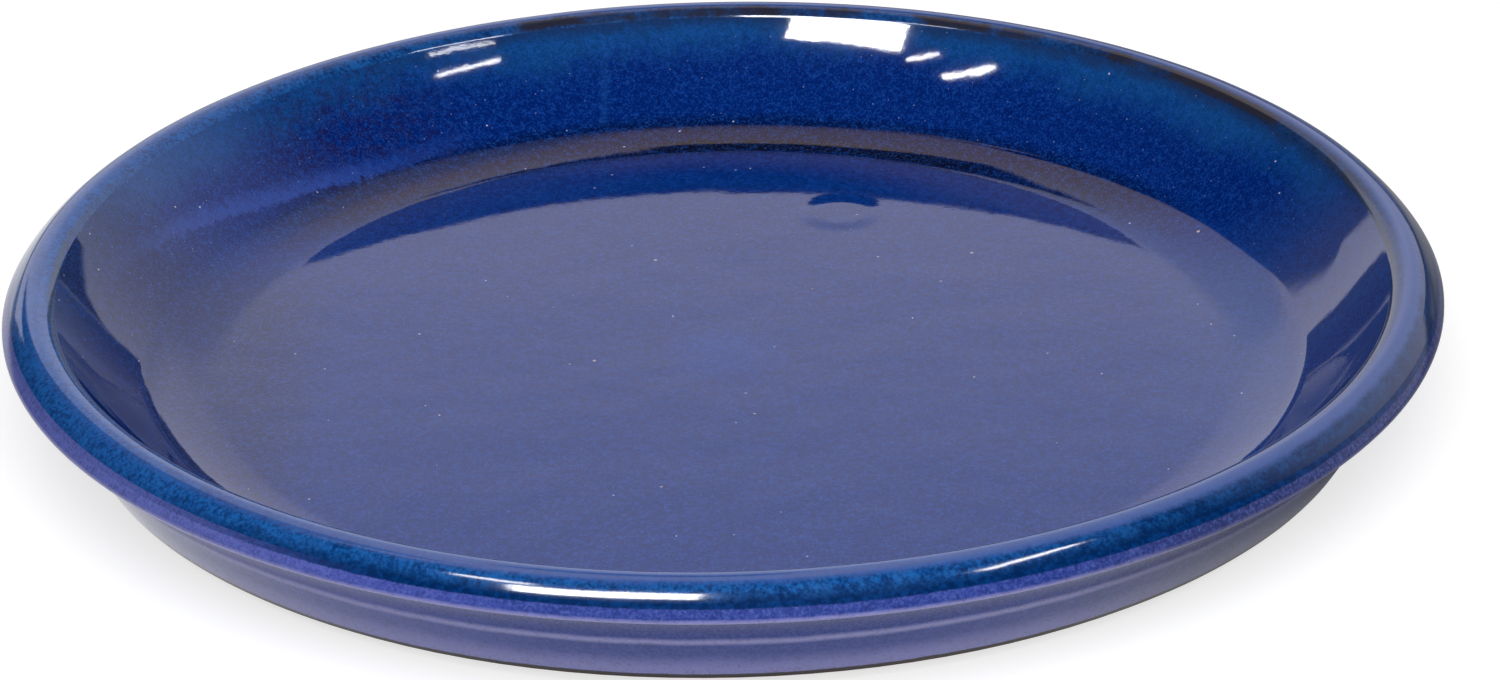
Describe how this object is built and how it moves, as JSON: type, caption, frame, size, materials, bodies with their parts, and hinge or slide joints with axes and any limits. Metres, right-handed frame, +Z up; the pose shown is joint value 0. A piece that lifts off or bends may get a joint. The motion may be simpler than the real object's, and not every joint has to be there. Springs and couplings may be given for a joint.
{
  "type": "plant saucer",
  "caption": "Round shallow stoneware plant saucer with a rolled rim, a coved well and a turned foot ring, glazed deep blue and bare clay underneath; it catches water under a flowerpot.",
  "frame": {"origin": "centre of the foot ring, on the surface the saucer stands on", "axes": "+Z up along the turning axis; the saucer is round, so X and Y are any two level directions, and -Y faces the camera of the picture"},
  "size_m": [0.3, 0.3, 0.03],
  "materials": {
    "bare_clay": "matt reddish-brown fired stoneware, lightly grogged",
    "cobalt_glaze": "glossy deep cobalt glaze with fine mottling and pinholes",
    "rim_glaze": "glossy cobalt glaze, mottled light and dark blue where the coats overlap"
  },
  "bodies": {
    "root": {"clay_body": "bare_clay", "inside_glaze": "cobalt_glaze", "rim_glaze": "rim_glaze", "outside_glaze": "cobalt_glaze"}
  },
  "joints": []
}
